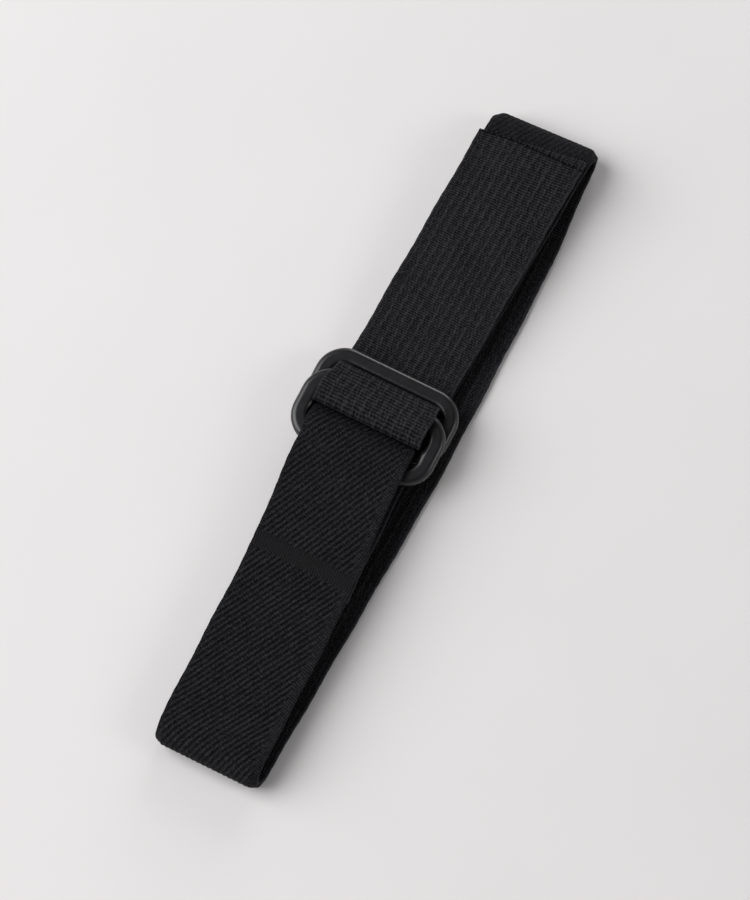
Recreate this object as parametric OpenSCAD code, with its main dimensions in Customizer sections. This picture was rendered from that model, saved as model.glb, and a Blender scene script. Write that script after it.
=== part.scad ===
// Cinch tourniquet belt: a flat elastic band with two oval rings, lying as a flattened loop.
// Frame: +X along the band towards the free tail, +Y across it, +Z up; the band lies on z = 0.

/* [Band] */
// Width of the elastic band
band_w = 25; // [20:1:30]
// Thickness of one layer of the band
band_t = 1.4; // [1.2:0.1:1.4]
// Length of the flattened loop over both folds
loop_length = 166.6; // [160:0.2:180]
// Height of the two folds over their outer faces
fold_height = 7.4; // [7.2:0.1:7.6]
// Length of the sewn double layer, from the ring bar to the middle of the tack
sewn_length = 29; // [24:1:34]
// Distance of the tail's cut end from the outer edge of the fold under it
tail_inset = 5.9; // [5:0.1:10]

/* [Rings] */
// Outer length of a ring, across the band
ring_length = 34.7; // [34:0.1:36]
// Outer width of a ring, along the band
ring_width = 18.2; // [17.8:0.1:18.6]
// Width of a ring's bar
bar_w = 4.1; // [3.8:0.1:4.2]
// Thickness of a ring
ring_t = 3; // [2.8:0.1:3]
// Outer corner radius of a ring
ring_corner = 7; // [6:0.1:7.5]
// Edge rounding of a ring's bar
bar_round = 1.3; // [0.8:0.1:1.4]
// How far the upper ring is shifted along the band against the lower one
ring_shift = 6.2; // [6:0.1:6.4]
// Upward tilt of both rings towards the tail
ring_tilt = 6.2; // [6:0.1:6.4]

/* [Stitching] */
// Width of the bar tack along the band
tack_w = 5; // [4:0.5:6]
// Height that thread stands over the band
thread_t = 0.3; // [0.2:0.05:0.4]
// Number of thread loops over the tail's cut end
end_loops = 12; // [8:1:16]

/* [Hidden] */

$fn = 48;
gap = 0.1;                               // clearance between layers that only touch
seam = 0.15;                             // gap where two runs of the band meet end to end
layer = band_t + gap;                    // pitch of stacked layers
fold_r = fold_height / 2;                // outer radius of a fold
fold_x = loop_length / 2 - fold_r;       // axis of each fold, from the middle
upper_z = fold_height - band_t;          // underside of the upper layer at a fold

// Sideways place of the middle of the band: it lies in a slight bow under the rings.
y_end = -2.4;                            // at both folds
y_floor = -5.45;                         // lower layer, under the rings
y_anchor = 0.9;                          // upper layer, at the rings
y_tack = -1.6;                           // upper layer, at the tack
y_tail = 0.3;                            // tail, where it leaves the rings
y_tail_end = -1.7;                       // tail, at its cut end
y_ring = 0.6;                            // both rings

threaded_w = 22.4;                       // width of the band where the rings' corners squeeze it

// Ring places. The rings turn together about the upper ring's sewn bar.
lower_ring_x = 9.1;                      // middle of the lower ring
bar_reach = (ring_width - bar_w) / 2;    // from a ring's middle to its bar's middle
sewn_bar = [lower_ring_x - bar_reach, 2 * layer + ring_t / 2 + gap / 2];    // lower ring, x and z
stack = ring_t + 0.05;                   // height of the upper ring over the lower one

function tilted(along, up) = sewn_bar
    + [along * cos(ring_tilt) - up * sin(ring_tilt), along * sin(ring_tilt) + up * cos(ring_tilt)];

free_bar = tilted(2 * bar_reach, 0);                       // lower ring, tail side
top_sewn_bar = tilted(-ring_shift, stack);                 // upper ring, sewn side
top_free_bar = tilted(2 * bar_reach - ring_shift, stack);  // upper ring, tail side

// Runs of the band.
under_x = free_bar[0] + bar_w / 2 + 0.7;     // where the layers come out under the lower ring
rise_x = fold_x - 12.6;                      // where the load layer reaches its full height
rise = (upper_z - layer) / (rise_x - under_x);
cover_x = top_sewn_bar[0] - 3;               // where the upper layer reaches the rings
cover_z = top_sewn_bar[1] + ring_t / 2 + gap / 2;
return_x = cover_x + 5;                      // where the second layer leaves the rings
tack_x = top_sewn_bar[0] - sewn_length;      // middle of the tack
split_x = lower_ring_x - 1;                  // floor layer: fixed side and travelling side
crease_length = 2.4;                         // length of the tail's hinge strip
tail_start = under_x + crease_length + seam;
tail_stop = loop_length / 2 - tail_inset;
panel_slope = (cover_z - upper_z) / (cover_x + fold_x);

function panel_z(x) = upper_z + panel_slope * (x + fold_x);
function tail_z(x) = 2 * layer + rise * (x - under_x);

// Catmull-Rom curve through hand-chosen points, with steps pieces between two of them.
function blend_point(a, b, c, d, t) =
    0.5 * (2 * b + (c - a) * t + (2 * a - 5 * b + 4 * c - d) * t * t + (3 * b - a - 3 * c + d) * t * t * t);
function smooth(p, steps) = [
    for (i = [0 : len(p) - 2], k = [0 : steps - 1])
        blend_point(p[max(i - 1, 0)], p[i], p[i + 1], p[min(i + 2, len(p) - 1)], k / steps),
    p[len(p) - 1]
];
function unit(v) = v / norm(v);
function side(p, i) = let (v = unit(p[min(i + 1, len(p) - 1)] - p[max(i - 1, 0)])) [-v[1], v[0]];

// A ribbon of the band inside the rings, given its middle line in x and z. Their corners squeeze it.
module ribbon(points, steps = 5) {
    line = smooth(points, steps);
    outer = [for (i = [0 : len(line) - 1]) line[i] + side(line, i) * band_t / 2];
    inner = [for (i = [len(line) - 1 : -1 : 0]) line[i] - side(line, i) * band_t / 2];
    translate([0, y_ring + threaded_w / 2, 0])
        rotate([90, 0, 0])
            linear_extrude(threaded_w)
                polygon(concat(outer, inner));
}

// A straight run of the band between two x values, given its underside and its middle at each end.
module run(x, z, y, thick = band_t, width = band_w) {
    span = norm([x[1] - x[0], z[1] - z[0]]);
    translate([x[0], 0, z[0]])
        rotate([0, -atan2(z[1] - z[0], x[1] - x[0]), 0])
            linear_extrude(thick)
                polygon([[0, y[0] - width / 2], [span, y[1] - width / 2],
                    [span, y[1] + width / 2], [0, y[0] + width / 2]]);
}

// The band turned over at an end of the loop. It bulges towards +X, or towards -X when way is -1.
module turn(way) {
    translate([way * fold_x, y_end + band_w / 2, fold_r])
        rotate([90, 0, 0])
            difference() {
                cylinder(r = fold_r, h = band_w);
                translate([0, 0, -1])
                    cylinder(r = fold_r - band_t, h = band_w + 2);
                translate([-way * fold_r, 0, band_w / 2])
                    cube([2 * fold_r, 2 * fold_r, band_w + 2], center = true);
            }
}

// Section of a ring's bar, with rounded edges, its middle at x = reach.
module bar_section(reach) {
    half_w = bar_w / 2 - bar_round;
    half_t = ring_t / 2 - bar_round;
    translate([reach, 0]) {
        square([2 * half_w, ring_t], center = true);
        square([bar_w, 2 * half_t], center = true);
        for (i = [-1, 1], j = [-1, 1])
            translate([i * half_w, j * half_t])
                circle(r = bar_round);
    }
}

// One oval ring, flat, with its middle at the origin.
module ring() {
    bend = ring_corner - bar_w / 2;
    straight_x = ring_width / 2 - ring_corner;
    straight_y = ring_length / 2 - ring_corner;
    for (q = [0 : 3]) {
        corner_x = (q == 0 || q == 3) ? straight_x : -straight_x;
        corner_y = (q < 2) ? straight_y : -straight_y;
        translate([corner_x, corner_y, 0])
            rotate([0, 0, 90 * q])
                rotate_extrude(angle = 90)
                    bar_section(bend);
    }
    for (s = [0, 180])
        rotate([0, 0, s]) {
            translate([straight_x, straight_y, 0])
                rotate([90, 0, 0])
                    linear_extrude(2 * straight_y)
                        bar_section(bend);
            translate([-straight_x, straight_y, 0])
                rotate([90, 0, 90])
                    linear_extrude(2 * straight_x)
                        bar_section(bend);
        }
}

// A ring in place, given the x and z of its sewn bar.
module placed_ring(bar) {
    translate([bar[0], y_ring, bar[1]])
        rotate([0, -ring_tilt, 0])
            translate([bar_reach, 0, 0])
                ring();
}

// Left end of the flattened loop.
module bottom_fold() {
    color("#1b1b1e")
        turn(-1);
}

// Lower layer on the surface, from the left fold to under the rings.
module floor_panel() {
    color("#17171a")
        run([-fold_x + seam, split_x], [0, 0], [y_end, y_floor]);
}

// Lower layer between the rings and the travelling fold.
module floor_run() {
    color("#1f1f23")
        run([split_x + seam, fold_x - seam], [0, 0], [y_floor, y_end]);
}

// Layer that carries the pull, from the travelling fold down to the lower ring.
module load_run() {
    color("#232327") {
        run([under_x, rise_x], [layer, upper_z], [y_tail, y_tail + (y_end - y_tail) * 0.8]);
        run([rise_x + seam, fold_x - seam], [upper_z, upper_z], [y_tail + (y_end - y_tail) * 0.8, y_end]);
    }
}

// Upper layer from the left fold to the rings, with the twill face up.
module anchor_panel() {
    color("#202024") {
        run([-fold_x + seam, tack_x], [upper_z, panel_z(tack_x)], [y_end, y_tack]);
        run([tack_x + seam, cover_x - seam], [panel_z(tack_x + seam), panel_z(cover_x)], [y_tack, y_anchor]);
    }
}

// The band over both sewn bars: over the upper ring's bar, down through both rings and back under
// the lower ring's bar.
module anchor_fold() {
    half = band_t / 2;
    return_z = layer + half;
    color("#26262b")
        ribbon([[cover_x, cover_z + half],
            [top_sewn_bar[0] - 0.9, cover_z + half + 0.1],
            [top_sewn_bar[0] + 1, cover_z + half + 0.14],
            [top_sewn_bar[0] + 2.5, cover_z + half - 0.45],
            [top_sewn_bar[0] + 3.9, cover_z - 1],
            [sewn_bar[0] - 0.2, sewn_bar[1] + 2.55],
            [sewn_bar[0] + 1.75, sewn_bar[1] + 2.3],
            [sewn_bar[0] + 3.15, sewn_bar[1] + 0.8],
            [sewn_bar[0] + 3.05, sewn_bar[1] - 0.95],
            [sewn_bar[0] + 1.7, return_z + 0.1],
            [sewn_bar[0] - 0.6, return_z],
            [return_x, return_z]]);
}

// Second layer of the sewn loop, from under the lower ring back to the tack.
module anchor_return() {
    tack_end = tack_x - tack_w / 2;
    ramp = tack_x + tack_w;
    color("#2a2a2f") {
        run([tack_end, ramp], [panel_z(tack_end) - layer, panel_z(ramp) - layer], [y_tack, y_tack]);
        run([ramp + seam, return_x - 2 * seam], [panel_z(ramp) - layer, layer], [y_tack, y_anchor]);
    }
}

// Dense thread band across both layers, on the upper face and on the lower one.
module bar_tack() {
    from = tack_x - tack_w / 2;
    to = tack_x + tack_w / 2;
    lower = -layer - thread_t - 0.02;
    color("#303036") {
        run([from, to], [panel_z(from) + band_t + 0.02, panel_z(to) + band_t + 0.02], [y_tack, y_tack], thread_t);
        run([from, to], [panel_z(from) + lower, panel_z(to) + lower], [y_tack, y_tack], thread_t);
    }
}

// Upper ring: its sewn bar lies in the fold, the cinch turns round its free bar.
module upper_ring() {
    color("#0e0e10")
        placed_ring(top_sewn_bar);
}

// Lower ring, nearer the surface and nearer the tail.
module lower_ring() {
    color("#121214")
        placed_ring(sewn_bar);
}

// The band threaded through the rings: under both free bars, loosely round the upper ring's
// bar, and back down under the lower ring's bar.
module cinch_turn() {
    half = band_t / 2;
    clear = ring_t / 2 + half;
    bar = top_free_bar;
    color("#2d2d33")
        ribbon([[under_x - seam, layer + half],
            [free_bar[0] - 3.2, layer + half],
            [bar[0] - 0.4, layer + half + 0.3],
            [bar[0] - 2.2, layer + half + 1.7],
            [bar[0] - 2.9, bar[1] - 2.75],
            [bar[0] - 4.15, bar[1] - 0.95],
            [bar[0] - 5.6, bar[1] + 0.05],
            [bar[0] - 6.65, bar[1] + 1.05],
            [bar[0] - 6.45, bar[1] + 2.15],
            [bar[0] - 5.2, bar[1] + 2.75],
            [bar[0] - 3.4, bar[1] + 2.75],
            [bar[0] - 1.5, bar[1] + 2.6],
            [bar[0] + 0.3, bar[1] + clear + 0.3],
            [bar[0] + 2.45, bar[1] + clear - 0.3],
            [bar[0] + 3.25, bar[1] + 0.3],
            [bar[0] + 3.4, bar[1] - 1.6],
            [free_bar[0] - 2.55, 2 * layer + half + 0.75],
            [free_bar[0] - 1.3, 2 * layer + half + 0.05],
            [free_bar[0] + 0.4, 2 * layer + half],
            [under_x - seam, 2 * layer + half]]);
}

// Strip of the tail just outside the lower ring, where the tail bends up.
module tail_crease() {
    color("#2f2f34")
        run([under_x, under_x + crease_length], [2 * layer, tail_z(under_x + crease_length)], [y_tail, y_tail]);
}

// Free tail, with the ribbed inner face of the band up.
module tail_panel() {
    color("#29292d")
        run([tail_start, tail_stop], [tail_z(tail_start), tail_z(tail_stop)], [y_tail, y_tail_end]);
}

// Overcast thread on the cut end of the tail: a bar along the end and short loops on the face.
module tail_end_stitch() {
    loop_pitch = (band_w - 2) / end_loops;
    slope = atan(rise);
    color("#3a3a40")
        translate([tail_stop, y_tail_end, tail_z(tail_stop)])
            rotate([0, -slope, 0]) {
                translate([0, -band_w / 2, 0])
                    cube([thread_t, band_w, band_t]);
                for (i = [0 : end_loops - 1])
                    translate([-1.2, (i + 0.5) * loop_pitch - band_w / 2 + 0.9, band_t])
                        cube([1.2 + thread_t, 0.5, thread_t]);
            }
}

// Right end of the flattened loop, which travels towards the rings as the loop is tightened.
module top_fold() {
    color("#1d1d21")
        turn(1);
}

bottom_fold();
floor_panel();
floor_run();
load_run();
anchor_panel();
anchor_fold();
anchor_return();
bar_tack();
upper_ring();
lower_ring();
cinch_turn();
tail_crease();
tail_panel();
tail_end_stitch();
top_fold();
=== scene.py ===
"""A black elastic tourniquet band, folded flat: a loop of woven band sewn to two plastic rings,
its free end passed up through both rings, back down under the lower one and laid along the loop."""

import math
import random

import bmesh
import bpy
import numpy as np
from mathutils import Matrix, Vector


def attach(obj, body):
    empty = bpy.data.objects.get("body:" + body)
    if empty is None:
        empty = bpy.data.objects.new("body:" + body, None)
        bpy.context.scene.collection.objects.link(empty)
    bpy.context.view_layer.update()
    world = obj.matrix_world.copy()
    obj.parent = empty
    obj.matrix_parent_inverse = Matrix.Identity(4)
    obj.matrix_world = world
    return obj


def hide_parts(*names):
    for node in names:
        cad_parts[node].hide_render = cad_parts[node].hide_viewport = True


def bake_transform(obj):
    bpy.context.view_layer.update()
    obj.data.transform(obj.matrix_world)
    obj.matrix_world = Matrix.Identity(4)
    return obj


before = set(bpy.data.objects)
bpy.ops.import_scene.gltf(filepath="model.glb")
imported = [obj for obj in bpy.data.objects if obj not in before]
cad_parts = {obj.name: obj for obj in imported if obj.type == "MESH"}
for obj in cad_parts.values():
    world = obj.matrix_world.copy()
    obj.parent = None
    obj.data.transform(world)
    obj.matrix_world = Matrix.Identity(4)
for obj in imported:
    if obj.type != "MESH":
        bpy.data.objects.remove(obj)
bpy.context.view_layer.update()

# Lengths here are in millimetres; MM turns them into the metres that Blender holds.
MM = 0.001
FULL_TURN = 2 * math.pi

# The camera looks down at the band from its lower left. Its distance, and the height that the
# picture takes in, are in metres.
VIEW_AZIMUTH = -62.7
VIEW_ELEVATION = 70.0
VIEW_DISTANCE = 1.5
VIEW_HEIGHT = 0.2
SENSOR = 36.0
AIM = Vector((1.05, -1.88, 0)) * MM

# The floor reaches this far each way, in metres. The surround is pale at table height.
FLOOR_REACH = 3
FLOOR_DARK = (0.75, 0.735, 0.735, 1)
FLOOR_LIGHT = (0.79, 0.775, 0.775, 1)
SURROUND_TINT = (1.0, 0.985, 0.98, 1)
SURROUND_LEVEL = 0.42
OVERHEAD_LEVEL = 0.07
OVERHEAD_FROM, OVERHEAD_FULL = 0.25, 0.85

# The near-black greys of the finishes, each from its darkest to its lightest.
OUTER_GREYS = 0.0007, 0.0262
# The band's two spans above also carry painted shade and painted sheen, as well as the cloth's own
# tone.
INNER_GREYS = 0.0010, 0.0295
RING_GREYS = 0.005, 0.010
TACK_GREYS = 0.003, 0.014
END_STITCH_GREYS = 0.008, 0.032

# The band.
BAND_WIDTH = 25.0
BAND_THICKNESS = 1.4
HALF_WIDTH = BAND_WIDTH / 2
HALF_THICKNESS = BAND_THICKNESS / 2
SELVEDGE_ROUND = 0.62

# Where the plain edge beside the twill begins and where it is full. It is narrow on the +Y edge
# of the band and wide on the other.
NARROW_SELVEDGE = HALF_WIDTH - 1.1, HALF_WIDTH - 0.5
WIDE_SELVEDGE = HALF_WIDTH - 2.6, HALF_WIDTH - 0.9

# Where it lies. The loop is two layers between its folds, and the upper one leans against the
# rings. The floor layer turns a little sideways at its two bends. The tail rises from the rings
# to its cut end.
FOLD_X = 79.6
FOLD_RADIUS = 3.0
FLOOR_Z = HALF_THICKNESS
TOP_Z = 6.7
TOP_SLOPE = 0.03413
LOAD_LEVEL_X = 67.0
TAIL_START = 18.82
TAIL_Z = 3.7
TAIL_SLOPE = 0.0934
TAIL_END = 77.4
FLOOR_BENDS = 2, 59

# The sewn layer: its cut end, where it leaves the upper layer, and how far under that it lies.
# The upper layer turns a little sideways at its bend.
SEWN_END_X = -35.9
SEWN_LEAVES_X = -28.44
SEWN_DROP = 1.5
TOP_BEND_X = -34

# The weave: the outer face is a steep twill of beaded ribs, and the inner face has lengthwise
# ridges. The ALONG and ACROSS of the beads and the slant are repeats in a millimetre. Those of
# the twill, the PICKs and the PITCH are the length of one repeat. The heights are relief.
TWILL_ACROSS = 1.285
TWILL_ALONG = 2.3
BEAD_ACROSS = 0.771
BEAD_ALONG = 1.245
SELVEDGE_PICK = 0.6
RIDGE_PITCH = 1.9
PICK = 0.545
SLANT_ACROSS = 1.283
SLANT_ALONG = 0.429
RIB_HEIGHT = 0.09
RIDGE_HEIGHT = 0.035

# How the band gives way: the rings squeeze it, the folds draw its edges in, stitches dent it.
# A slot is its length past the start of a turn, and half of how far along it squeezes.
RING_SQUEEZE = 0.09
ANCHOR_SLOT = 8.5, 4.5
RISING_SLOT = 13.0, 2.5
FALLING_SLOT = 33.4, 1.6
SHORT_BAND_PAST_TURN = 24.8
SHORT_BAND_SPREAD = 0.055
SHORT_BAND_STRETCH = 0.35
SHORT_BAND_ASIDE = 0.5
PRESSED_ASIDE = 0.4
NEAR_FOLD_DRAW = 0.7
FAR_FOLD_DRAW = 1.1
TACK_DENT = 0.12
HEM_DENT = 0.2

# How far parts of it lie off their plain route along X, the skew of each for a millimetre
# across, and the length over which that fades.
NEAR_FOLD_SHIFT = 1.1
NEAR_FOLD_FADE = 14
FAR_FOLD_SHIFT = 2.3
FAR_FOLD_SKEW = 0.048
FAR_FOLD_FADE = 18
TAIL_END_SHIFT = 1.5
TAIL_END_SKEW = 0.145
TAIL_END_FADE = 22
TACK_SKEW = 0.02
TACK_FADE = 16

# The stitching. TACK_UNDERSIDE is how far the tack's lower stitches lie under the upper layer.
TACK_X = -32.0
TACK_LENGTH = 4.3
TACK_PITCH = 0.3
TACK_MARGIN = 0.4
TACK_THREAD_RADIUS = 0.16
TACK_UNDERSIDE = 1.55
OVERCAST_COUNT = 19
OVERCAST_MARGIN = 0.7
OVERCAST_RADIUS = 0.13


# ---------------------------------------------------------------- camera, floor and light


def away_from(azimuth, elevation):
    """The direction from the aim point to something at that azimuth and elevation."""
    a, e = math.radians(azimuth), math.radians(elevation)
    return Vector((math.sin(a) * math.cos(e), -math.cos(a) * math.cos(e), math.sin(e)))


def linked(name, data):
    """A new object for the data, in the scene."""
    thing = bpy.data.objects.new(name, data)
    bpy.context.scene.collection.objects.link(thing)
    return thing


def make_camera():
    """A long lens far away, so that the band is nearly free of perspective."""
    lens = bpy.data.cameras.new("camera")
    lens.sensor_width = SENSOR
    lens.lens = SENSOR * VIEW_DISTANCE / VIEW_HEIGHT
    lens.dof.use_dof = False
    lens.clip_start, lens.clip_end = 0.05, 20
    camera = linked("camera", lens)
    back = away_from(VIEW_AZIMUTH, VIEW_ELEVATION)
    camera.location = AIM + back * VIEW_DISTANCE
    camera.rotation_mode = "QUATERNION"
    camera.rotation_quaternion = (-back).to_track_quat("-Z", "Y")
    bpy.context.scene.camera = camera


def make_light(name, azimuth, elevation, distance, size, power):
    """A square soft box aimed at the band, in degrees, metres and watts."""
    lamp = bpy.data.lights.new(name, "AREA")
    lamp.shape = "SQUARE"
    lamp.size = size
    lamp.energy = power
    light = linked(name, lamp)
    back = away_from(azimuth, elevation)
    light.location = back * distance
    light.rotation_mode = "QUATERNION"
    light.rotation_quaternion = (-back).to_track_quat("-Z", "Y")


def make_studio():
    """A plain pale floor, soft light from the band's +Y side and a pale surround."""
    bm = bmesh.new()
    bmesh.ops.create_grid(bm, x_segments=1, y_segments=1, size=FLOOR_REACH)
    sheet = bpy.data.meshes.new("floor")
    bm.to_mesh(sheet)
    bm.free()
    floor = linked("floor", sheet)
    floor.data.materials.append(floor_finish())
    make_light("key", azimuth=200, elevation=40, distance=1.4, size=1.4, power=27)
    make_light("rim", azimuth=97, elevation=18, distance=1.5, size=0.7, power=7)
    make_light("fill", azimuth=15, elevation=34, distance=1.6, size=0.6, power=3.5)
    scene = bpy.context.scene
    scene.world = surround()
    scene.view_settings.view_transform = "Standard"


def surround():
    """Pale all round at the height of the table, and darker overhead."""
    world = bpy.data.worlds.new("surround")
    world.use_nodes = True
    tree = world.node_tree
    direction = tree.nodes.new("ShaderNodeTexCoord").outputs["Generated"]
    split = tree.nodes.new("ShaderNodeSeparateXYZ")
    tree.links.new(direction, split.inputs[0])
    overhead = Value(tree, split.outputs["Z"]).over(OVERHEAD_FROM, OVERHEAD_FULL)
    level = overhead.between(SURROUND_LEVEL, OVERHEAD_LEVEL)
    backdrop = tree.nodes["Background"]
    backdrop.inputs["Color"].default_value = SURROUND_TINT
    tree.links.new(level.socket, backdrop.inputs["Strength"])
    return world


# ---------------------------------------------------------------- material expressions


class Value:
    """A socket that holds a number, with arithmetic that adds Math nodes."""

    def __init__(self, tree, socket):
        self.tree, self.socket = tree, socket

    def math(self, operation, *others):
        node = self.tree.nodes.new("ShaderNodeMath")
        node.operation = operation
        for slot, value in enumerate((self, *others)):
            if isinstance(value, Value):
                self.tree.links.new(value.socket, node.inputs[slot])
            else:
                node.inputs[slot].default_value = value
        return Value(self.tree, node.outputs[0])

    def reflected(self, operation, first):
        node = self.tree.nodes.new("ShaderNodeMath")
        node.operation = operation
        node.inputs[0].default_value = first
        self.tree.links.new(self.socket, node.inputs[1])
        return Value(self.tree, node.outputs[0])

    def __add__(self, other):
        return self.math("ADD", other)

    __radd__ = __add__

    def __mul__(self, other):
        return self.math("MULTIPLY", other)

    __rmul__ = __mul__

    def __sub__(self, other):
        return self.math("SUBTRACT", other)

    def __rsub__(self, first):
        return self.reflected("SUBTRACT", first)

    def __truediv__(self, other):
        return self.math("DIVIDE", other)

    def __rtruediv__(self, first):
        return self.reflected("DIVIDE", first)

    def __neg__(self):
        return self.math("MULTIPLY", -1)

    def abs(self):
        return self.math("ABSOLUTE")

    def power(self, exponent):
        return self.math("POWER", exponent)

    def wave(self):
        """One cosine from -1 to 1 for each whole number that the value passes."""
        return (self * FULL_TURN).math("COSINE")

    def over(self, low, high):
        """0 below low and 1 above high, smoothly between them."""
        node = self.tree.nodes.new("ShaderNodeMapRange")
        node.interpolation_type = "SMOOTHSTEP"
        self.tree.links.new(self.socket, node.inputs["Value"])
        node.inputs["From Min"].default_value = low
        node.inputs["From Max"].default_value = high
        return Value(self.tree, node.outputs["Result"])

    def between(self, low, high):
        """A number from low where the value is 0 to high where it is 1."""
        return self * (high - low) + low


class Finish:
    """A material and its node tree."""

    def __init__(self, name, roughness, specular):
        self.material = bpy.data.materials.new(name)
        self.material.use_nodes = True
        self.tree = self.material.node_tree
        self.shader = self.tree.nodes["Principled BSDF"]
        self.shader.inputs["Roughness"].default_value = roughness
        self.shader.inputs["Specular IOR Level"].default_value = specular

    def node(self, kind, settings=None, **sockets):
        """Any node: its settings first, then the values or links of its sockets."""
        made = self.tree.nodes.new(kind)
        for key, setting in (settings or {}).items():
            setattr(made, key, setting)
        for key, value in sockets.items():
            self.feed(made.inputs[key.replace("_", " ")], value)
        return made

    def feed(self, socket, value):
        if isinstance(value, Value):
            self.tree.links.new(value.socket, socket)
        elif isinstance(value, bpy.types.NodeSocket):
            self.tree.links.new(value, socket)
        else:
            socket.default_value = value

    def set(self, **sockets):
        """Feeds the shader's sockets."""
        for key, value in sockets.items():
            self.feed(self.shader.inputs[key.replace("_", " ")], value)

    def noise(self, scale, detail, vector=None, roughness=0.5):
        """Noise from 0 to 1, on the piece's own millimetres unless another vector is given."""
        made = self.node("ShaderNodeTexNoise", Scale=scale, Detail=detail, Roughness=roughness)
        self.feed(made.inputs["Vector"], vector or self.place())
        return Value(self.tree, made.outputs["Fac"])

    def place(self):
        """The point on the piece, in millimetres."""
        metres = self.node("ShaderNodeTexCoord").outputs["Object"]
        scaled = self.node("ShaderNodeMapping", Vector=metres, Scale=(1 / MM, 1 / MM, 1 / MM))
        return scaled.outputs["Vector"]

    def attribute(self, name, output="Fac"):
        """A piece's own attribute."""
        return self.node("ShaderNodeAttribute", {"attribute_name": name}).outputs[output]

    def blend(self, share, first, second):
        """A colour from first where share is 0 to second where it is 1."""
        made = self.node("ShaderNodeMix", {"data_type": "RGBA"})
        factor, colour_a, colour_b = (made.inputs[k] for k in (0, 6, 7))
        self.feed(factor, share)
        self.feed(colour_a, first)
        self.feed(colour_b, second)
        return made.outputs[2]

    def bump(self, height, distance, strength):
        """Height from 0 to 1 as relief of that distance in millimetres."""
        made = self.node("ShaderNodeBump", Height=height, Distance=distance * MM,
                         Strength=strength)
        self.set(Normal=made.outputs["Normal"])


def grey(level, tint):
    """A near-black linear colour, a little blue by its tint."""
    return (level, level, level * (1 + tint), 1)


def floor_finish():
    """Pale matt floor with a faint, broad mottle."""
    finish = Finish("pale_floor", roughness=0.65, specular=0.25)
    mottle = finish.noise(0.02, 3)
    finish.set(Base_Color=finish.blend(mottle, FLOOR_DARK, FLOOR_LIGHT))
    return finish.material


def outer_weave(across, along, stray, tight):
    """Height of the outer face: twill ribs of yarn beads, and fine picks along both selvedges."""
    rib = (across / TWILL_ACROSS - along / TWILL_ALONG + stray * 0.3).wave() * -0.5 + 0.5
    bead = (across * BEAD_ACROSS + along * BEAD_ALONG + stray).wave() * -0.5 + 0.5
    twill = (rib * 0.42 + 0.3) * (bead * 0.26 + 0.7)
    pulled_flat = rib * 0.1 + 0.4
    twill = twill + (pulled_flat - twill) * tight
    pick = (along / SELVEDGE_PICK + across * 0.5 + stray).wave() * 0.5 + 0.5
    selvedge = pick * 0.5 + 0.2
    inside = (1 - across.over(*NARROW_SELVEDGE)) * (1 - (-across).over(*WIDE_SELVEDGE))
    return selvedge + (twill - selvedge) * inside


def inner_weave(across, along, uneven, stray):
    """Height of the inner face: picks crossed by wandering ridges and a slanting set of floats."""
    wander = across + (uneven - 0.5) * 0.9
    ridge = ((wander / RIDGE_PITCH).wave() * 0.5 + 0.5).power(5.0)
    pick = (along / PICK + stray).wave() * 0.5 + 0.5
    slant = (across * SLANT_ACROSS - along * SLANT_ALONG + stray).wave() * 0.5 + 0.5
    woven = pick * (0.5 - ridge * 0.2) + ridge * 0.36 + slant * 0.17 + 0.11
    selvedge = pick * 0.3 + 0.3
    return woven + (selvedge - woven) * across.abs().over(HALF_WIDTH - 1.3, HALF_WIDTH - 0.9)


def band_finish():
    """Black elastic webbing, read from its flat weave so that it follows every bend."""
    finish = Finish("band", roughness=0.75, specular=0.12)
    flat = finish.attribute("weave", "Vector")
    split = finish.node("ShaderNodeSeparateXYZ", Vector=flat)
    across, along, depth = (Value(finish.tree, split.outputs[k]) for k in range(3))
    tight, hem_shadow = (Value(finish.tree, finish.attribute(name)) for name in ("tight", "hem_shadow"))
    outer = depth.over(-0.15, 0.15)
    fuzz = finish.noise(2.3, 3, flat, 0.7)
    uneven = finish.noise(0.45, 2, flat)
    drift = finish.noise(0.1, 2, flat)
    lint = finish.noise(3.1, 1, flat).over(0.7, 0.78)
    stray = (uneven - 0.5) * 0.6

    inner_height = inner_weave(across, along, uneven, stray)
    height = inner_height + (outer_weave(across, along, stray, tight) - inner_height) * outer
    # A painted highlight along the rounded long edges of the inner face, which otherwise lie in
    # shade.
    edge_highlight = across.abs().over(HALF_WIDTH - 0.6, HALF_WIDTH - 0.25) * (1 - outer)
    # The colour follows the weave's height: painted sheen on the raised floats and painted shade in
    # the gaps, with the random fuzz, drift and lint on top.
    shade = height + (fuzz - 0.5) * (2.1 - tight * 0.9) + (drift - 0.5) * 0.25
    # The darkened line near the cut end is a painted shadow along the overcast row.
    shade = shade + lint * 0.55 + edge_highlight * 0.35 - hem_shadow * 0.7
    deep = finish.blend(outer, grey(INNER_GREYS[0], 0.2), grey(OUTER_GREYS[0], 0.2))
    bright = finish.blend(outer, grey(INNER_GREYS[1], 0.18), grey(OUTER_GREYS[1], 0.22))
    finish.set(Base_Color=finish.blend(shade.over(0.1, 1.15), deep, bright),
               Roughness=height.between(0.85, 0.7))
    finish.bump(height + fuzz * (0.35 - tight * 0.2), distance=0.2, strength=1.0)
    return finish.material


def thread_finish(name, greys):
    """Twisted sewing thread between two greys."""
    finish = Finish(name, roughness=0.6, specular=0.12)
    strands = finish.noise(3.0, 2)
    finish.set(Base_Color=finish.blend(strands, grey(greys[0], 0.1), grey(greys[1], 0.15)))
    finish.bump(strands, distance=0.05, strength=0.6)
    return finish.material


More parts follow.
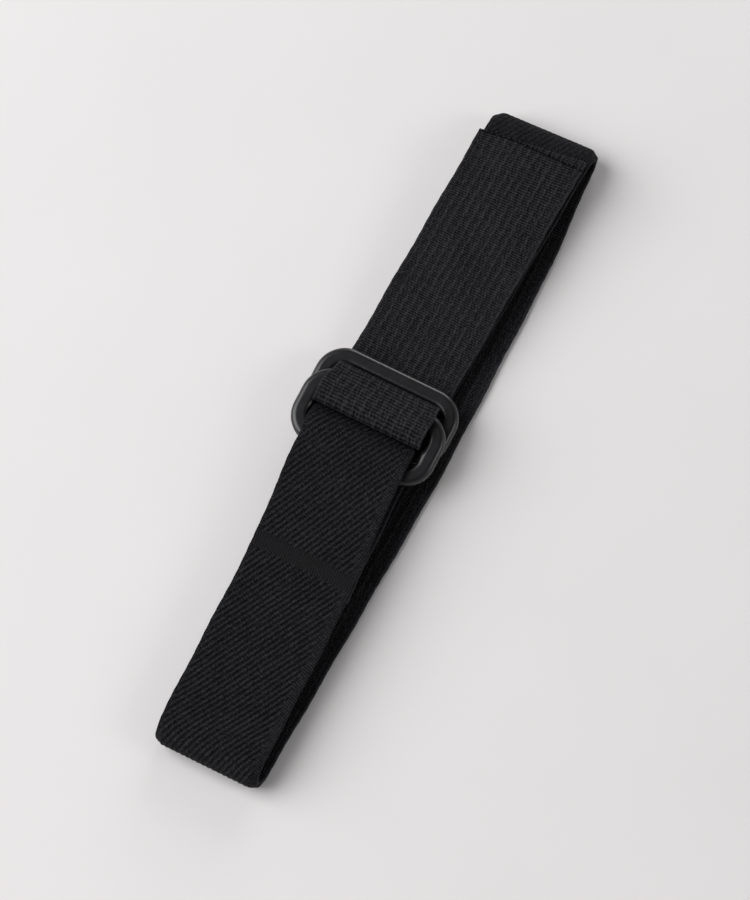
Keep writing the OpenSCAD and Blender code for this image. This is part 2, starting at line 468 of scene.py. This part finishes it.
def ring_finish():
    """Moulded black plastic with a satin skin."""
    finish = Finish("ring_plastic", roughness=0.3, specular=0.5)
    skin = finish.noise(0.5, 4)
    grain = finish.noise(6.0, 2)
    dark, light = RING_GREYS
    finish.set(Base_Color=finish.blend(skin, grey(dark, 0.2), grey(light, 0.25)),
               Roughness=(skin * 0.6 + grain * 0.4).between(0.24, 0.4))
    finish.bump(grain * 0.5 + skin * 0.5, distance=0.015, strength=0.3)
    return finish.material


# ---------------------------------------------------------------- the line the band takes


def eased(value, low, high):
    """0 below low and 1 above high, smoothly between them, for numbers or arrays."""
    t = np.clip((np.asarray(value, float) - low) / (high - low), 0, 1)
    return t * t * (3 - 2 * t)


def window(value, centre, half, soft):
    """1 within half of the centre, falling to 0 over a soft edge."""
    return 1 - eased(np.abs(np.asarray(value, float) - centre), half, half + soft)


def through(points, steps=12):
    """A smooth line through the points."""
    ends = [points[0]] + list(points) + [points[-1]]
    line = []
    for before, first, last, after in zip(ends, ends[1:], ends[2:], ends[3:]):
        before, first, last, after = map(np.array, (before, first, last, after))
        for k in range(steps):
            t = k / steps
            line.append(0.5 * (2 * first + (last - before) * t
                               + (2 * before - 5 * first + 4 * last - after) * t ** 2
                               + (3 * first - before - 3 * last + after) * t ** 3))
    return line + [np.array(points[-1])]


def fold(x, start, turns=24):
    """The half circle at an end of the loop, from a start angle and half a turn on."""
    return [(x + FOLD_RADIUS * math.cos(a), TOP_Z - FOLD_RADIUS + FOLD_RADIUS * math.sin(a))
            for a in (start + math.pi * k / turns for k in range(turns + 1))]


def top_z(x):
    """Height of the upper layer's middle over the loop."""
    return TOP_Z + TOP_SLOPE * (x + FOLD_X)


def tail_z(x):
    """Height of the tail's middle."""
    return TAIL_Z + TAIL_SLOPE * (x - TAIL_START)


class Route:
    """The middle line of the whole band, from its sewn end round the loop to its cut tail."""

    STEP = 0.05
    SOFTEN = 0.45
    SOFTEN_LEAN = 4.0

    def __init__(self):
        self.line, self.lean, self.marks = [], [], {}

    def add(self, mark, points, lean):
        """A stretch of the line, with the sideways place of the band at its two ends."""
        self.marks[mark] = len(self.line)
        for k, point in enumerate(points):
            share = k / max(1, len(points) - 1)
            self.line.append(tuple(point))
            self.lean.append(lean[0] + (lean[1] - lean[0]) * share)

    def settle(self):
        """Even steps along the line, and corners softened."""
        line, lean = np.array(self.line), np.array(self.lean)
        walked = np.concatenate([[0], np.cumsum(np.linalg.norm(np.diff(line, axis=0), axis=1))])
        keep = np.concatenate([[True], np.diff(walked) > 1e-6])
        length = np.arange(0, walked[-1], self.STEP)
        track = [np.interp(length, walked[keep], v[keep]) for v in (line[:, 0], line[:, 1], lean)]
        marks = {m: walked[k] for m, k in self.marks.items()}
        x, z = (self.soft(v, self.SOFTEN) for v in track[:2])
        self.y = self.soft(track[2], self.SOFTEN_LEAN)
        self.x, self.z = x, z
        moved = np.concatenate([[0], np.cumsum(np.hypot(np.diff(x), np.diff(z)))])
        self.s = moved
        self.marks = {m: float(np.interp(w, length, moved)) for m, w in marks.items()}
        self.marks["end"] = float(moved[-1])
        tx, tz = np.gradient(x), np.gradient(z)
        size = np.hypot(tx, tz)
        self.nx, self.nz = tz / size, -tx / size

    def soft(self, values, spread):
        """Values blurred along the line, with both ends kept in place."""
        reach = int(3 * spread / self.STEP)
        kernel = np.exp(-0.5 * (np.arange(-reach, reach + 1) * self.STEP / spread) ** 2)
        head = 2 * values[0] - values[reach:0:-1]
        foot = 2 * values[-1] - values[-2:-reach - 2:-1]
        return np.convolve(np.concatenate([head, values, foot]), kernel / kernel.sum(), "valid")

    def at(self, s):
        """Place and outward direction of the line at lengths along it."""
        return [np.interp(s, self.s, v) for v in (self.x, self.y, self.z, self.nx, self.nz)]

    def where(self, mark_from, mark_to, x):
        """The length at which the line passes x between two marks."""
        inside = (self.s >= self.marks[mark_from]) & (self.s <= self.marks[mark_to])
        near = np.argmin(np.abs(self.x[inside] - x))
        return float(self.s[inside][near])


def straight(*corners, step=0.5):
    """Points along straight runs."""
    points = []
    for (x0, z0), (x1, z1) in zip(corners, corners[1:]):
        count = max(2, int(math.hypot(x1 - x0, z1 - z0) / step))
        points += [(x0 + (x1 - x0) * k / count, z0 + (z1 - z0) * k / count) for k in range(count)]
    return points + [corners[-1]]


# Under the sewn bar of the lower ring, up through it, and over the sewn bar of the upper ring.
ANCHOR_TURN = [(-2.44, 2.2), (1.45, 2.2), (3.75, 2.3), (5.1, 3.6), (5.2, 5.35), (4.35, 6.5),
               (3.1, 7.2), (1.9, 8.0), (0.8, 8.85), (-0.8, 9.25), (-2.9, 9.36), (-5.34, 9.26),
               (-7.44, 9.16)]
# Under both free bars, up between the bars, over the upper ring's and down under the lower ring's.
CINCH_TURN = [(18.67, 2.2), (12.87, 2.2), (9.17, 2.5), (7.37, 3.9), (6.67, 5.69), (5.42, 7.49),
              (3.97, 8.49), (2.92, 9.49), (3.12, 10.59), (4.37, 11.19), (6.17, 11.19),
              (8.07, 11.04), (9.87, 10.94), (12.02, 10.34), (12.82, 8.74), (12.97, 6.84),
              (13.52, 4.45), (14.77, 3.75), (16.47, 3.7), (18.67, 3.7)]


def band_route():
    """The whole route. The last pair of each stretch is the sideways place of its two ends."""
    route = Route()
    sewn_end = SEWN_END_X, top_z(SEWN_END_X) - SEWN_DROP
    sewn_leaves = SEWN_LEAVES_X, top_z(SEWN_LEAVES_X) - SEWN_DROP
    top_bend = TOP_BEND_X, top_z(TOP_BEND_X)
    route.add("sewn", straight(sewn_end, sewn_leaves, ANCHOR_TURN[0]), (-1.6, 0.6))
    route.add("anchor", through(ANCHOR_TURN), (0.6, 0.9))
    route.add("top", straight(ANCHOR_TURN[-1], top_bend), (0.9, -1.6))
    route.add("plain", straight(top_bend, (-FOLD_X, TOP_Z)), (-1.6, -2.4))
    route.add("bottom_fold", fold(-FOLD_X, math.pi / 2), (-2.4, -3.3))
    floor = [(x, FLOOR_Z) for x in (-FOLD_X, *FLOOR_BENDS, FOLD_X)]
    route.add("floor", straight(floor[0], floor[1]), (-3.3, -5.45))
    route.add("floor_far", straight(floor[1], floor[2]), (-5.45, -4.6))
    route.add("floor_end", straight(floor[2], floor[3]), (-4.6, -2.5))
    route.add("top_fold", fold(FOLD_X, -math.pi / 2), (-2.5, -2.5))
    route.add("load", straight((FOLD_X, TOP_Z), (LOAD_LEVEL_X, TOP_Z), CINCH_TURN[0]), (-2.3, 0.5))
    route.add("cinch", through(CINCH_TURN), (0.6, 0.6))
    route.add("tail", straight(CINCH_TURN[-1], (TAIL_END, tail_z(TAIL_END))), (0.4, -1.7))
    route.settle()
    return route


ROUTE = band_route()
SHORT_BAND = ROUTE.marks["cinch"] + SHORT_BAND_PAST_TURN
TACK_AT = ROUTE.where("top", "bottom_fold", TACK_X)


def weave_length():
    """Length as the loom made it: the short band over the rings is pulled longer."""
    stretch = 1 + SHORT_BAND_STRETCH * window(ROUTE.s, SHORT_BAND, 6, 5)
    return np.concatenate([[0], np.cumsum(np.diff(ROUTE.s) / stretch[1:])])


WEAVE = weave_length()


def width_at(s):
    """Share of the full width: the band bunches a little where it goes through a ring."""
    share = np.ones_like(s)
    for turn, (past, half) in (("anchor", ANCHOR_SLOT), ("cinch", RISING_SLOT),
                               ("cinch", FALLING_SLOT)):
        share -= RING_SQUEEZE * window(s, ROUTE.marks[turn] + past, half, 2.0)
    return share + SHORT_BAND_SPREAD * window(s, SHORT_BAND - 2.2, 2.5, 5)


def fold_middles():
    """Lengths at the middle of the near fold and of the far one."""
    m = ROUTE.marks
    return (m["bottom_fold"] + m["floor"]) / 2, (m["top_fold"] + m["load"]) / 2


def drawn(w, s):
    """How far the band's edges draw in at the two folds of the loop."""
    near, far = fold_middles()
    bent = NEAR_FOLD_DRAW * window(s, near, 2.0, 4.0) + FAR_FOLD_DRAW * window(s, far, 2.0, 4.0)
    return -bent * eased(np.abs(w), WIDE_SELVEDGE[0], HALF_WIDTH) ** 2


def around(s, mark_from, mark_to, fade):
    """1 between two marks, fading away from them on both sides."""
    first, last = ROUTE.marks[mark_from], ROUTE.marks[mark_to]
    return eased(s, first - fade, first) * (1 - eased(s, last, last + fade))


def shifted(w, s):
    """How far along X the band lies off its plain route, at its folds, tack and cut tail."""
    near = around(s, "bottom_fold", "floor", NEAR_FOLD_FADE)
    far = around(s, "top_fold", "load", FAR_FOLD_FADE)
    tail = eased(s, ROUTE.marks["end"] - TAIL_END_FADE, ROUTE.marks["end"])
    tack = window(s, TACK_AT, 2.5, TACK_FADE)
    return (far * (FAR_FOLD_SHIFT - FAR_FOLD_SKEW * w) + near * NEAR_FOLD_SHIFT
            + tail * (TAIL_END_SHIFT - TAIL_END_SKEW * w) + TACK_SKEW * w * tack)


def relief(w, s, z):
    """Height of the ribs and ridges over the plain faces."""
    loom = np.interp(s, ROUTE.s, WEAVE)
    inside = (1 - eased(w, *NARROW_SELVEDGE)) * (1 - eased(-w, *WIDE_SELVEDGE))
    twill = w / TWILL_ACROSS - loom / TWILL_ALONG
    rib = -RIB_HEIGHT * np.cos(FULL_TURN * twill) * (1 - tightness(s))
    ridge = RIDGE_HEIGHT * np.cos(FULL_TURN * w / RIDGE_PITCH)
    outer, inner = eased(z, 0.35, 0.6), eased(-z, 0.35, 0.6)
    tack = window(s, TACK_AT, TACK_LENGTH / 2 - 0.4, 0.8)
    groove = window(s, hem_line(w), 0.05, 0.3)
    return (inside * (outer * rib * (1 - tack) - inner * ridge) - outer * TACK_DENT * tack
            + HEM_DENT * (inner - outer) * groove)


def hem_line(w):
    """Length at which the row of the tail's overcasting pulls the band in."""
    return ROUTE.marks["end"] - np.maximum(0.8 - 0.12 * w, 0.3)


def tightness(s):
    """Share by which the folds pull the twill flat."""
    near, far = fold_middles()
    return 0.75 * window(s, far, 5, 4) + 0.25 * window(s, near, 2, 3)


def laid(flat):
    """Flat band points, across, along and through, put where the band goes.

    The edges wander a little. The short band lies off to one side, and the layer under it
    presses against the lower ring.
    """
    w, s, z = flat.T
    x0, y0, z0, nx, nz = ROUTE.at(s)
    lift = z + relief(w, s, z) + drawn(w, s)
    side = np.sign(w)
    wander = 0.09 * np.sin(s * 0.31 + side) + 0.03 * np.sin(s * 1.7 + 2 * side)
    under_ring = window(s, ROUTE.marks["anchor"] + 16.5, 2, 4)
    y = y0 + w * width_at(s) + eased(np.abs(w), 6, HALF_WIDTH) * wander
    y = y + SHORT_BAND_ASIDE * window(s, SHORT_BAND - 3, 2, 5)
    y = y + PRESSED_ASIDE * under_ring * eased(w, 6, HALF_WIDTH)
    return np.stack([x0 + nx * lift + shifted(w, s), y, z0 + nz * lift], 1) * MM


def steps_between(first, last, fine_from, fine_to, fine, coarse):
    """Lengths from first to last, in fine steps where the weave shows and coarse elsewhere."""
    stops = [first]
    while stops[-1] < last - 1e-6:
        here = stops[-1]
        step = fine if fine_from - 1e-6 <= here < fine_to else coarse
        if here < fine_from < here + step:
            step = fine_from - here
        stops.append(min(last, here + step))
    if stops[-1] - stops[-2] < 0.3 * fine and len(stops) > 2:
        del stops[-2]
    return stops


def flat_strip(along, columns):
    """A flat strip of the band's thickness, with a row of faces for each step along it."""
    rows = len(along) - 1
    bm = bmesh.new()
    bmesh.ops.create_grid(bm, x_segments=columns, y_segments=rows, size=0.5)
    for v in bm.verts:
        row = along[round((v.co.y + 0.5) * rows)]
        v.co = Vector((v.co.x * BAND_WIDTH, row, 0))
    bmesh.ops.solidify(bm, geom=bm.faces[:], thickness=BAND_THICKNESS)
    middle = (min(v.co.z for v in bm.verts) + max(v.co.z for v in bm.verts)) / 2
    bmesh.ops.translate(bm, verts=bm.verts[:], vec=(0, 0, -middle))
    bmesh.ops.recalc_face_normals(bm, faces=bm.faces[:])
    return bm


def round_selvedges(bm):
    """Rounds the long edges of a flat strip."""
    def on_side(v):
        return abs(abs(v.co.x) - HALF_WIDTH) < 1e-4

    def lengthwise(e):
        first, last = (v.co for v in e.verts)
        return abs(first.z - last.z) < 1e-4 and abs(first.y - last.y) > 1e-5

    sides = [e for e in bm.edges if lengthwise(e) and all(on_side(v) for v in e.verts)]
    bmesh.ops.bevel(bm, geom=sides, offset=SELVEDGE_ROUND, segments=3, profile=0.5,
                    affect="EDGES", material=-1, clamp_overlap=True)


def smooth_strip(bm, ends):
    """Smooth faces all over, with crisp edges round the cut at both ends."""
    for e in bm.edges:
        for s in ends:
            if all(abs(v.co.y - s) < 1e-4 for v in e.verts) and len(e.link_faces) == 2:
                facing = [abs(f.normal.y) > 0.9 for f in e.link_faces]
                if facing[0] != facing[1]:
                    e.smooth = False
    for f in bm.faces:
        f.smooth = True


def lay(mesh):
    """Puts a flat strip where the band goes, and keeps its weave for the finish to read."""
    flat = np.zeros(len(mesh.vertices) * 3)
    mesh.vertices.foreach_get("co", flat)
    flat = flat.reshape(-1, 3)
    w, s, z = flat.T
    weave = np.stack([w, np.interp(s, ROUTE.s, WEAVE), z], 1)
    mesh.vertices.foreach_set("co", laid(flat).ravel())
    mesh.attributes.new("weave", "FLOAT_VECTOR", "POINT").data.foreach_set(
        "vector", weave.astype(np.float32).ravel())
    # A painted shadow line across the face that lies up on the tail, along the overcast row by its
    # cut end.
    hem_shadow = window(s, hem_line(w), 0.05, 0.28) * (z < 0)
    for layer, values in (("tight", tightness(s)), ("hem_shadow", hem_shadow)):
        mesh.attributes.new(layer, "FLOAT", "POINT").data.foreach_set(
            "value", values.astype(np.float32))
    mesh.update()


def band_piece(name, first, last, fine_span, fine, coarse, across):
    """A length of the band: a flat strip given its thickness and rounded edges, then laid."""
    along = steps_between(first, last, *fine_span, fine, coarse)
    bm = flat_strip(along, int(round(BAND_WIDTH / across)))
    round_selvedges(bm)
    smooth_strip(bm, (first, last))
    mesh = bpy.data.meshes.new(name)
    bm.to_mesh(mesh)
    bm.free()
    lay(mesh)
    piece = linked(name, mesh)
    mesh.materials.append(BAND)
    return piece


def make_band():
    """The band in five lengths, cut where the motion needs it."""
    m = ROUTE.marks
    cut_floor = ROUTE.where("floor", "floor_far", -68)
    cut_load = ROUTE.where("load", "cinch", 38)
    cut_under = m["tail"] - 3.4
    cut_tail = m["tail"] + 0.1

    anchor = band_piece("anchor_band", m["sewn"], cut_floor, (m["anchor"] + 17, m["floor"] - 2),
                        fine=0.3, coarse=1.1, across=0.215)
    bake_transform(anchor)
    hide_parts("anchor_panel", "anchor_fold", "anchor_return", "bottom_fold")

    loop = band_piece("loop_band", cut_floor, cut_load, (m["top_fold"] - 4, m["load"] + 5),
                      fine=0.25, coarse=0.9, across=0.25)
    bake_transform(loop)
    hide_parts("floor_panel", "floor_run", "load_run", "top_fold")

    cinch = band_piece("cinch_band", cut_load, cut_under, (m["cinch"] + 18, m["cinch"] + 42),
                       fine=0.18, coarse=0.6, across=0.17)
    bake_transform(cinch)
    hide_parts("cinch_turn")

    bend = band_piece("tail_bend", cut_under, cut_tail, (cut_under, cut_tail),
                      fine=0.25, coarse=0.25, across=0.17)
    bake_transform(bend)
    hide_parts("tail_crease")

    tail = band_piece("tail_band", cut_tail, m["end"], (cut_tail, m["end"]),
                      fine=0.26, coarse=0.26, across=0.17)
    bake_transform(tail)
    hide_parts("tail_panel")


# ---------------------------------------------------------------- stitching


def thread(name, runs, radius, finish):
    """Sewing thread along each run of flat band points, as one mesh."""
    curve = bpy.data.curves.new(name, "CURVE")
    curve.dimensions = "3D"
    curve.bevel_depth = radius * MM
    curve.bevel_resolution = 2
    curve.use_fill_caps = True
    for run in runs:
        points = laid_line(np.array(run, float))
        spline = curve.splines.new("POLY")
        spline.points.add(len(points) - 1)
        spline.points.foreach_set("co", np.concatenate(
            [points, np.ones((len(points), 1))], 1).ravel())
        spline.use_smooth = True
    shape = bpy.data.objects.new(name + "_line", curve)
    mesh = bpy.data.meshes.new_from_object(shape)
    mesh.name = name
    bpy.data.objects.remove(shape)
    bpy.data.curves.remove(curve)
    piece = linked(name, mesh)
    mesh.materials.clear()
    mesh.materials.append(finish)
    return piece


def laid_line(flat):
    """Flat thread points put where the band goes, without the ribs of the weave."""
    w, s, z = flat.T
    x0, y0, z0, nx, nz = ROUTE.at(s)
    return np.stack([x0 + nx * z + shifted(w, s), y0 + w * width_at(s), z0 + nz * z], 1) * MM


def make_tack(draw):
    """Close zigzag stitching over the layers under the rings, on both of its faces."""
    runs = []
    for face in (1, -1):
        turns = int((BAND_WIDTH - 2 * TACK_MARGIN) / TACK_PITCH)
        for k in range(turns + 1):
            w = -HALF_WIDTH + TACK_MARGIN + k * TACK_PITCH
            reach = TACK_LENGTH / 2 + draw.uniform(-0.12, 0.12)
            lean = TACK_PITCH * 0.5 * (1 if k % 2 else -1)
            run = []
            for step in range(9):
                t = step / 4 - 1
                rise = HALF_THICKNESS - 0.05 - 0.3 * abs(t) ** 8
                depth = rise if face > 0 else -(HALF_THICKNESS + TACK_UNDERSIDE) + 0.05 * abs(t)
                run.append((w + lean * t * 0.5, TACK_AT + reach * t, depth))
            runs.append(run)
    tack = thread("tack_thread", runs, TACK_THREAD_RADIUS, TACK_THREAD)
    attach(tack, "belt")
    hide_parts("bar_tack")


def make_end_stitch(draw):
    """Overcasting over the cut tail, from the row that holds it."""
    end = ROUTE.marks["end"]
    runs = []
    for k in range(OVERCAST_COUNT):
        w = (k / (OVERCAST_COUNT - 1) - 0.5) * (BAND_WIDTH - 2 * OVERCAST_MARGIN)
        w += draw.uniform(-0.2, 0.2)
        row = float(hem_line(w)) + draw.uniform(-0.15, 0.15)
        slant = 0.35 + draw.uniform(-0.1, 0.1)
        runs.append([(w + slant, row, -0.45), (w + slant * 0.9, row + 0.15, -0.74),
                     (w + slant * 0.6, (row + end) / 2, -0.8), (w + slant * 0.3, end - 0.1, -0.72),
                     (w + slant * 0.1, end + 0.14, -0.35), (w, end + 0.16, 0.3),
                     (w - slant * 0.2, end - 0.1, 0.72), (w - slant * 0.6, (row + end) / 2, 0.8),
                     (w - slant, row, 0.45)])
    stitch = thread("tail_end_thread", runs, OVERCAST_RADIUS, END_THREAD)
    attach(stitch, "tail")
    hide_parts("tail_end_stitch")


def finish_rings():
    """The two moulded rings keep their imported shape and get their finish."""
    for node in ("upper_ring", "lower_ring"):
        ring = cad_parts[node]
        ring.data.materials.clear()
        ring.data.materials.append(RING)


# ---------------------------------------------------------------- the scene

make_camera()
make_studio()
BAND, RING = band_finish(), ring_finish()
TACK_THREAD = thread_finish("tack_thread", TACK_GREYS)
END_THREAD = thread_finish("end_thread", END_STITCH_GREYS)
make_band()
draw = random.Random(7)
make_tack(draw)
make_end_stitch(draw)
finish_rings()
